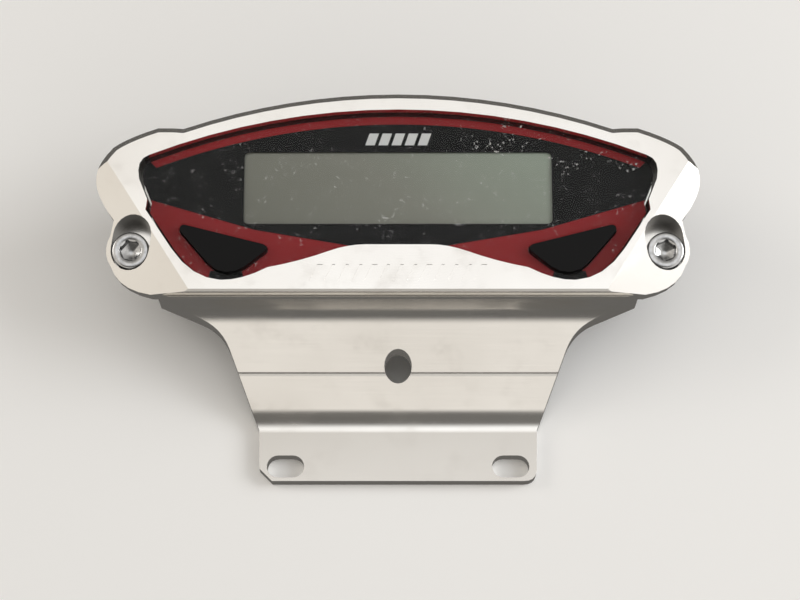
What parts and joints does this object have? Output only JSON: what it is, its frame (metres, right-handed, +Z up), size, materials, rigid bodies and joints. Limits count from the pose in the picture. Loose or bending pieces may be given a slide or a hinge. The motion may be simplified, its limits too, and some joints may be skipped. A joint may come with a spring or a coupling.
{
  "type": "instrument cluster",
  "caption": "Slim digital motorcycle gauge with display and push keys, held in a machined aluminium guard bracket with a slotted fixing flange.",
  "frame": {"origin": "midway between the two fixing slots, on the underside of the flange", "axes": "+Z up out of the flange, +Y forward along the motorcycle towards the gauge, +X to the rider's right along the long side"},
  "size_m": [0.161, 0.097, 0.0481],
  "materials": {
    "aluminium": "machined billet, satin, fine tooling marks",
    "zinc": "bright zinc plate",
    "steel": "turned steel",
    "lens": "clear gloss polycarbonate",
    "print": "black and red screen print seen through the lens",
    "black_plastic": "moulded black, fine grain",
    "white_plastic": "moulded white",
    "display": "grey-green reflective liquid crystal cell, unlit",
    "rubber": "moulded black rubber",
    "board": "green solder mask on glass-fibre laminate",
    "chip": "moulded epoxy package",
    "lamp": "clear resin lamp, unlit"
  },
  "bodies": {
    "root": {"guard_bracket": "aluminium", "lens": "lens", "graphic_film": "print", "front_frame": "black_plastic", "lcd_glass": "display", "lcd_holder": "white_plastic", "backlight_panel": "white_plastic", "contact_strip_top": "rubber", "contact_strip_bottom": "rubber", "circuit_board": "board", "microcontroller": "chip", "display_driver": "chip", "supply_capacitor": "zinc", "wire_header": "white_plastic", "key_switch_left": "chip", "lamp_baffle_left": "black_plastic", "lamp_led_left_1": "lamp", "lamp_led_left_2": "lamp", "backlight_led_left": "lamp", "key_switch_right": "chip", "lamp_baffle_right": "black_plastic", "lamp_led_right_1": "lamp", "lamp_led_right_2": "lamp", "backlight_led_right": "lamp", "case_seal": "rubber", "rear_case": "black_plastic", "cable_gland": "rubber", "case_screw_1": "zinc", "case_screw_2": "zinc", "case_screw_3": "zinc", "case_screw_4": "zinc", "case_screw_5": "zinc", "case_screw_6": "zinc", "board_screw_1": "zinc", "board_screw_2": "zinc", "board_screw_3": "zinc", "board_screw_4": "zinc", "side_screw_left": "zinc", "ear_bush_left": "steel", "ear_grommet_left": "rubber", "ear_washer_left": "zinc", "ear_nut_left": "zinc", "side_screw_right": "zinc", "ear_bush_right": "steel", "ear_grommet_right": "rubber", "ear_washer_right": "zinc", "ear_nut_right": "zinc"},
    "key_left": {"key_pad_left": "rubber", "switch_stem_left": "white_plastic"},
    "key_right": {"key_pad_right": "rubber", "switch_stem_right": "white_plastic"}
  },
  "joints": [
    {"name": "key_left_press", "type": "slide", "parent": "root", "child": "key_left", "axis": [0, 0.1392, -0.9903], "range_m": [0, 0.001], "stiffness_N_per_m": 1500, "springref_m": -0.0005},
    {"name": "key_right_press", "type": "slide", "parent": "root", "child": "key_right", "axis": [0, 0.1392, -0.9903], "range_m": [0, 0.001], "stiffness_N_per_m": 1500, "springref_m": -0.0005}
  ]
}
